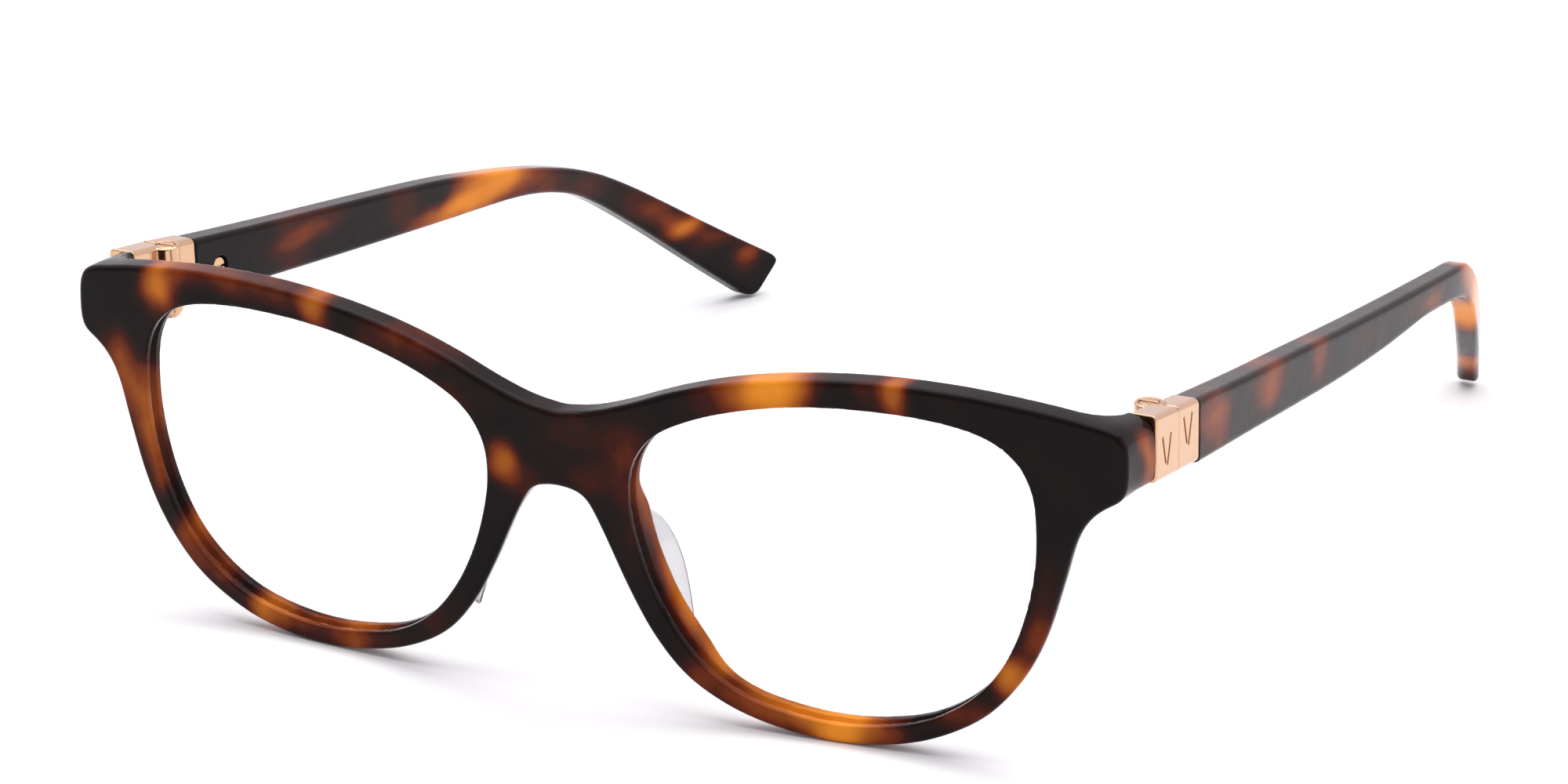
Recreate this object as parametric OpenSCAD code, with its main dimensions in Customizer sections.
// Acetate eyeglasses frame with metal block hinges.
// X runs across the face, Y back along the temples, Z up; the floor is Z = 0.

/* [Front] */
// overall width of the front
frame_w = 140; // [128:1:150]
// height scale of the front, 1 is a 40.3 mm lens opening
height_k = 1; // [0.85:0.01:1.15]
// radius of the face curve (same across and up)
wrap_r = 390; // [250:5:600]
// thickness of the acetate sheet
front_t = 3.6; // [3:0.1:5]
// forward lean of the front's top edge, degrees
tilt = 4; // [0:0.5:12]
// height of the front's datum line over the floor
datum_z = 20.7; // [16:0.1:26]
// depth of the flat back of the ridge beside the nose
nose_y = 5.6; // [4:0.1:8]

/* [Lens groove] */
// width of the groove
groove_w = 1.1; // [0.8:0.1:1.6]
// depth of the groove
groove_d = 0.7; // [0.4:0.1:1]
// distance of the groove's middle behind the front face
groove_y = 1.7; // [1.2:0.1:2.4]

/* [Nose pads] */
// thickness of a pad
pad_t = 1.3; // [1:0.1:2.5]
// outward flare of a pad, degrees
pad_flare = 16.2; // [0:0.1:30]

/* [Hinge] */
// distance of the hinge axis from the middle plane
hinge_x = 66.5; // [65.5:0.1:67]
// radius of the knuckles
knuckle_r = 1.75; // [1.5:0.05:2]
// radius of the hinge screw's shank
screw_r = 0.7; // [0.5:0.05:0.9]
// running clearance between the screw and the temple's knuckle, on the radius
run_gap = 0.05; // [0.02:0.01:0.1]
// gap between the two hinge blocks when the temple is open
seam_gap = 0.1; // [0.05:0.05:0.3]
// how far the left temple stands closed in the pose drawn, degrees
left_closed = 4.5; // [0:0.5:8]

/* [Temples] */
// thickness of the temple at the hinge
temple_t = 3.8; // [3:0.1:5]
// thickness of the temple at its tip
tip_t = 3.2; // [2.5:0.1:4.5]
// height of the flat core wire
wire_h = 1.8; // [1:0.1:2.4]
// thickness of the flat core wire
wire_t = 1.0; // [0.6:0.1:1.4]

/* [Output] */
// which piece to draw

/* [Hidden] */

tortoise = [0.20, 0.10, 0.06];
rose_gold = [0.88, 0.70, 0.58];
steel = [0.7, 0.7, 0.72];
clear = [0.90, 0.90, 0.88, 0.5];

eps = 0.01;
mid_y = 82.9;                  // half the frame's depth: puts the origin under the middle
kx = frame_w / 140;            // width factor of the outline
curve_n = 5;                   // points per stretch of a smooth curve
side_shift = (frame_w - 140) / 2;  // keeps hinges and temples at the ends of the front
pad_x = 7.3;                   // nose side of the pads where their plane meets the front datum
pad_lean = 21;                 // sideways lean of the pads, degrees

// half of the front's outline, from the top middle round to the underside of the bridge
outline_half = [[0, 16.2], [4.4, 16.9], [9.2, 18.5], [15, 20.8], [22, 22.9], [30.2, 24.4], [40, 25.2],
    [50, 25.0], [60, 23.9], [65.5, 22.9], [68.4, 22.2], [69.6, 20.9], [69.9, 18.2], [69.8, 15.2],
    [69.1, 13.8], [67.3, 12.8], [65.4, 11.0], [64, 8.2], [62.6, 2.9], [60.5, -4.2], [57.6, -10],
    [53.1, -15.2], [46.9, -18.8], [40.7, -20.5], [34.7, -20.9], [28.3, -20.3], [21.9, -18.5],
    [16.2, -15.2], [12.1, -10.4], [9.1, -5], [6.5, 0.6], [4.9, 3.9], [3.8, 5.7], [2.6, 6.5], [0, 6.9]];

// the lens opening on the +X side
aperture_pts = [[59.5, 10], [59.4, 5], [58.6, 0], [57.1, -4.9], [54.6, -9.7], [50.9, -13.6], [45.9, -16.6],
    [40, -18.1], [34.2, -18.5], [28.4, -17.9], [23.2, -16.5], [18.4, -13.4], [14.6, -8.8], [11.9, -3.6],
    [10.2, 1.6], [9.4, 6.4], [9.9, 10.9], [12.4, 14.7], [16.7, 17.3], [22.9, 19.5], [30.6, 21.1], [39, 21.7],
    [47, 21.4], [53.2, 20.1], [57, 17.6], [58.9, 14.2]];

// temples seen from the side, right then left, each bent for its own ear: [distance back, height]
temple_tops = [
    [[12, 43.1], [28.5, 41], [45, 38.95], [60, 37.3], [75, 35.6], [90, 34], [108, 32.2], [119, 31.05],
        [125, 30.3], [129, 29.2], [134, 26.4], [140, 22.6], [147, 18], [155, 12.9], [162, 8.35], [165.8, 5.8],
        [166.8, 4.7]],
    [[12, 43.1], [28.5, 41], [45, 39.1], [60, 37.5], [75, 35.85], [85, 34.6], [93, 33.3], [100, 32.1],
        [106, 30.9], [112, 29.5], [118, 27.8], [124, 25.6], [130, 22.75], [136, 19.45], [148, 12.3],
        [155, 8.2], [158.9, 5.9], [159.8, 4.9]]];
temple_lows = [
    [[12, 34.45], [28.5, 32.95], [45, 31.55], [60, 30.2], [75, 28.95], [90, 28.1], [100, 27.85], [108, 27.7],
        [115, 27.1], [120, 26.5], [125, 25.5], [129, 23.9], [134, 20.6], [140, 15.9], [147, 11.35],
        [155, 6.6], [160, 3.4], [163.2, 1.1], [164.4, 0.4], [165.4, 0.6]],
    [[12, 34.45], [28.5, 32.95], [45, 31.65], [60, 30.5], [75, 29.4], [85, 28.7], [93, 28.2], [100, 27.7],
        [106, 27], [112, 25.8], [118, 23.9], [124, 20.95], [130, 17.35], [136, 13.4], [142, 9.1], [148, 4.8],
        [152, 2], [153.8, 0.75], [154.9, 0.3], [155.9, 0.5]]];
// outer face of a temple seen from above: [distance back, distance from the middle plane]
temple_side = [[12, 70.3], [27, 70.3], [60, 70.3], [90, 70.3], [105, 70.25], [115, 70.1], [122, 69.9],
    [128, 69.4], [134, 68.45], [140, 67], [147, 65], [155, 62.6], [168, 58.6]];

// hinge blocks, in the front's own leaning frame
block_in = 66.6;
block_out = 70.3;
block_y0 = 14.8;               // joint with the lug
seam_y = 21.6;
block_y1 = 27.95;              // joint with the temple
hinge_y = 21.8;
relief_r = knuckle_r + 0.2;
knuckle_z = [[11.2, 14.1], [14.2, 17.1], [17.2, 20.1]];
block_top = function (y) 21.5 - 0.205 * (y - block_y0);
block_low = function (y) 13.1 - 0.178 * (y - block_y0);
emblem_z = 16.4;
head_r = 1.2;
head_h = 0.7;
nut_h = 0.6;
pin_r = 0.6;
pin_fit = 0.02;
pin_x = 68.6;
pin_zs = [19.2, 15.2];
fix_y = 32;                    // temple screw, distance back
fix_z = 36.2;

// ---- smooth curves -------------------------------------------------------

// a point between b and c on the smooth curve through a, b, c, d
function blend(a, b, c, d, t) = 0.5 * (2 * b + (c - a) * t
    + (2 * a - 5 * b + 4 * c - d) * t * t + (3 * b - a - 3 * c + d) * t * t * t);

function closed_curve(p) = let (m = len(p))
    [for (i = [0:m - 1]) for (k = [0:curve_n - 1])
        blend(p[(i + m - 1) % m], p[i], p[(i + 1) % m], p[(i + 2) % m], k / curve_n)];

function open_curve(p) = let (m = len(p))
    concat([for (i = [0:m - 2]) for (k = [0:curve_n - 1])
        blend(p[max(i - 1, 0)], p[i], p[i + 1], p[min(i + 2, m - 1)], k / curve_n)], [p[m - 1]]);

function reversed(p) = [for (i = [len(p) - 1:-1:0]) p[i]];
function mirrored(p) = [for (q = p) [-q[0], q[1]]];
function scaled(p) = [for (q = p) [q[0] * kx, q[1] * height_k]];
// the loop p pushed outwards by d (p runs clockwise, so its left side is outside)
function grown(p, d) = let (m = len(p))
    [for (i = [0:m - 1]) let (a = p[(i + m - 1) % m], b = p[(i + 1) % m], t = (b - a) / norm(b - a))
        p[i] + d * [-t[1], t[0]]];
// height of the open polyline p at distance y
function height_at(p, y) = lookup(y, p);

whole_outline = closed_curve(scaled(concat(outline_half,
    [for (i = [len(outline_half) - 2:-1:1]) [-outline_half[i][0], outline_half[i][1]]])));
aperture = closed_curve(scaled(aperture_pts));

// ---- frames --------------------------------------------------------------

// the front and the hinges lean with the front
module leaning() translate([0, -mid_y, datum_z]) rotate([tilt, 0, 0]) children();
module hinged() leaning() translate([side_shift, 0, 0]) children();
// the temples stand upright
module upright() translate([side_shift, -mid_y, 0]) children();
module left() mirror([1, 0, 0]) children();
// a right temple piece turned towards closed about the hinge axis
module closed(angle) hinged() translate([hinge_x, hinge_y, 0]) rotate([0, 0, angle])
    translate([-hinge_x - side_shift, -hinge_y, 0]) unlean() translate([0, mid_y, 0]) children();
// a flat [x, z] shape pushed through from y = a to y = b
module through(a, b) translate([0, b, 0]) rotate([90, 0, 0]) linear_extrude(b - a) children();
// a flat [y, z] shape pushed along x from a to b
module across(a, b) translate([a, 0, 0]) rotate([90, 0, 90]) linear_extrude(b - a) children();

// everything between two depths behind the curved front face
module layer(a, b) difference() {
    translate([0, wrap_r, 0]) sphere(r = wrap_r - a, $fn = 300);
    translate([0, wrap_r, 0]) sphere(r = wrap_r - b, $fn = 300);
}

// ---- front ---------------------------------------------------------------

module rims() intersection() {
    layer(0, front_t);
    through(-4, 16) polygon(whole_outline);
}

// thicker acetate on the nose side of each rim, its nose wall in the plane of the pad
module nose_ridge() intersection() {
    through(2, nose_y) intersection() {
        polygon(whole_outline);
        polygon([[3, 8], [9.2, 7], [16, -8], [19, -15], [10, -15], [3, -2]]);
    }
    pad_plane() translate([-0.3, -10, -30]) cube([30, 40, 60]);
}

// end lug that carries the hinge block, its outer edge chamfered
module lug() translate([side_shift, 0, 0]) intersection() {
    across(58, 71)
        polygon([[5.5, 22.2], [9, 22], [block_y0, block_top(block_y0) + 0.15],
            [block_y0, block_low(block_y0) - 0.15], [9, 13.6], [5.5, 14]]);
    through(5, block_y0)
        polygon([[58, 12], [block_out, 12], [block_out, 20.8], [block_out - 1.2, 22.3], [58, 23]]);
    translate([0, 0, 5]) linear_extrude(25)
        polygon(concat(open_curve([[60.9, 7], [63, 8.6], [65, 10.6], [66.2, 12.8], [66.5, block_y0]]),
            [[block_out, block_y0], [69.9, 7.6], [60.9, 6.4]]));
}

module lens_groove() intersection() {
    layer(groove_y - groove_w / 2, groove_y + groove_w / 2);
    through(-4, 16) polygon(grown(aperture, groove_d));
}

module front() color(tortoise) leaning() difference() {
    union() {
        rims();
        nose_ridge();
        left() nose_ridge();
        lug();
        left() lug();
    }
    for (s = [0, 1]) mirror([s, 0, 0]) {
        through(-5, 30) polygon(aperture);
        lens_groove();
        for (z = pin_zs) translate([pin_x + side_shift, block_y0 + eps, z]) rotate([90, 0, 0])
            cylinder(r = pin_r + pin_fit, h = 3.3, $fn = 32);
    }
}

// plane of a pad's nose side: x across the pad, y back, z up
module pad_plane() translate([pad_x, 0, 0]) rotate([0, 0, -pad_flare]) rotate([0, -pad_lean, 0]) children();

// clear pad: a plate standing on the ridge, flaring outwards as it runs back
module nose_pad() color(clear) leaning() intersection() {
    translate([0, nose_y, -30]) cube([40, 20, 60]);
    pad_plane() across(0, pad_t)
        polygon(concat(open_curve([[4.5, 4.9], [6.3, 3.3], [8.2, 1.6], [9.1, -0.5], [9.5, -2.5], [9.6, -4.1],
            [9.5, -5.9], [9.2, -8.1], [8.8, -10.3], [8.3, -12.1], [7.3, -13.9], [5.9, -15.3]]),
            [[3, -15.3], [3, 4.9]]));
}

// ---- hinge ---------------------------------------------------------------

// side shape of a hinge block between two distances back
module block_side(a, b) across(block_in, block_out)
    polygon([[a, block_top(a)], [b, block_top(b)], [b, block_low(b)], [a, block_low(a)]]);

module knuckle(i, r) translate([hinge_x, hinge_y, knuckle_z[i][0]])
    cylinder(r = r, h = knuckle_z[i][1] - knuckle_z[i][0], $fn = 64);

// cylinder round the hinge axis between two heights
module axis_bore(r, a, b) translate([hinge_x, hinge_y, a]) cylinder(r = r, h = b - a, $fn = 64);

// two slanted grooves cut into the block's outer face
module engraving(y) for (k = [0, 1])
    translate([block_out - 0.3, y + 1.5 * k, emblem_z - 0.35 * k]) rotate([k == 0 ? 16 : -16, 0, 0])
        translate([0, -0.22, -1.9]) cube([1, 0.44, 3.8]);

module front_hinge_block() color(rose_gold) hinged() difference() {
    union() {
        block_side(block_y0, seam_y);
        knuckle(0, knuckle_r);
        knuckle(2, knuckle_r);
    }
    axis_bore(relief_r, knuckle_z[0][1], knuckle_z[2][0]);
    axis_bore(screw_r + pin_fit, 5, 25);
    axis_bore(head_r + 0.05, knuckle_z[2][1] - head_h, 25);
    engraving(block_y0 + 2.4);
    for (z = pin_zs) translate([pin_x, block_y0 + 2.4, z]) rotate([90, 0, 0])
        cylinder(r = pin_r + pin_fit, h = 3, $fn = 32);
}

module temple_hinge_block(side) color(rose_gold) hinged() difference() {
    union() {
        difference() {
            block_side(seam_y + seam_gap, block_y1);
            axis_bore(relief_r, 5, knuckle_z[0][1] + 0.05);
            axis_bore(relief_r, knuckle_z[2][0] - 0.05, 25);
            translate([block_in, seam_y + seam_gap, 15]) rotate([0, 0, 45])
                cube([1.7, 1.7, 30], center = true);
        }
        knuckle(1, knuckle_r);
    }
    axis_bore(screw_r + run_gap, 5, 25);
    engraving(seam_y + 2.1);
    unlean() core_path(side, 0.03);
}

module hinge_screw() color(rose_gold) hinged() difference() {
    union() {
        axis_bore(screw_r, knuckle_z[0][0] - nut_h - 0.2, knuckle_z[2][1] - head_h + eps);
        axis_bore(head_r, knuckle_z[2][1] - head_h, knuckle_z[2][1]);
    }
    translate([hinge_x - 2, hinge_y - 0.18, knuckle_z[2][1] - 0.35]) cube([4, 0.36, 1]);
}

module hinge_nut() color(rose_gold) hinged() difference() {
    axis_bore(1.35, knuckle_z[0][0] - nut_h, knuckle_z[0][0] - 0.02);
    axis_bore(screw_r + pin_fit, 5, 15);
}

module anchor_pin(i) color(steel) hinged() translate([pin_x, block_y0 + 2.3, pin_zs[i]])
    rotate([90, 0, 0]) cylinder(r = pin_r, h = 5.5, $fn = 32);

// ---- temple --------------------------------------------------------------

// turns upright coordinates into the leaning frame used by the hinge
module unlean() rotate([-tilt, 0, 0]) translate([0, 0, -datum_z]) children();

// solid between two curves seen from the side and two seen from above
module bar(top, low, outer, inner) intersection() {
    across(40, 75) polygon(concat(open_curve(top), reversed(open_curve(low))));
    linear_extrude(60)
        polygon([for (q = concat(open_curve(outer), reversed(open_curve(inner)))) [q[1], q[0]]]);
}

function temple_inner() = [for (q = temple_side)
    [q[0], q[1] - temple_t + (temple_t - tip_t) * (q[0] - 12) / 150]];

// middle line of a temple from the side, from inside the hinge block to near the tip
function core_line(side) = [for (y = [25, 40, 57, 85, 101, 112, 120, 126, 131, 138, 146])
    [y, (height_at(temple_tops[side], y) + height_at(temple_lows[side], y)) / 2]];

module core_path(side, gap) let (line = core_line(side)) bar([for (q = line) q + [0, wire_h / 2 + gap]],
    [for (q = line) q - [0, wire_h / 2 + gap]],
    [for (q = line) [q[0], lookup(q[0], temple_side) - temple_t / 2 + wire_t / 2 + gap]],
    [for (q = line) [q[0], lookup(q[0], temple_side) - temple_t / 2 - wire_t / 2 - gap]]);

// drilling for the temple screw, from the inner face outwards
module fix_hole(r, a, b) let (x = lookup(fix_y, temple_inner()))
    translate([x + a, fix_y, fix_z]) rotate([0, 90, 0]) cylinder(r = r, h = b - a, $fn = 40);

module temple(side) color(tortoise) difference() {
    upright() difference() {
        bar(temple_tops[side], temple_lows[side], temple_side, temple_inner());
        core_path(side, 0.03);
        fix_hole(1.5, -1, 1.0);
        fix_hole(0.65, 0, 2.9);
    }
    hinged() translate([50, -20, -40]) cube([40, 20 + block_y1 + 0.02, 100]);
}

module core_wire(side) color(steel) upright() difference() {
    core_path(side, 0);
    fix_hole(0.65, 0, 2.9);
}

module temple_screw() color(rose_gold) upright() difference() {
    union() {
        fix_hole(1.3, 0.25, 0.98);
        fix_hole(0.6, 0.9, 2.8);
    }
    translate([lookup(fix_y, temple_inner()), fix_y - 2, fix_z - 0.15]) cube([0.55, 4, 0.3]);
}

front();
left() nose_pad();  // nose_pad_left
nose_pad();  // nose_pad_right
left() front_hinge_block();  // front_hinge_block_left
front_hinge_block();  // front_hinge_block_right
left() closed(left_closed) temple_hinge_block(1);  // temple_hinge_block_left
temple_hinge_block(0);  // temple_hinge_block_right
left() hinge_screw();  // hinge_screw_left
hinge_screw();  // hinge_screw_right
left() hinge_nut();  // hinge_nut_left
hinge_nut();  // hinge_nut_right
left() anchor_pin(0);  // anchor_pin_upper_left
anchor_pin(0);  // anchor_pin_upper_right
left() anchor_pin(1);  // anchor_pin_lower_left
anchor_pin(1);  // anchor_pin_lower_right
left() closed(left_closed) temple(1);  // temple_left
temple(0);  // temple_right
left() closed(left_closed) core_wire(1);  // core_wire_left
core_wire(0);  // core_wire_right
left() closed(left_closed) temple_screw();  // temple_screw_left
temple_screw();  // temple_screw_right
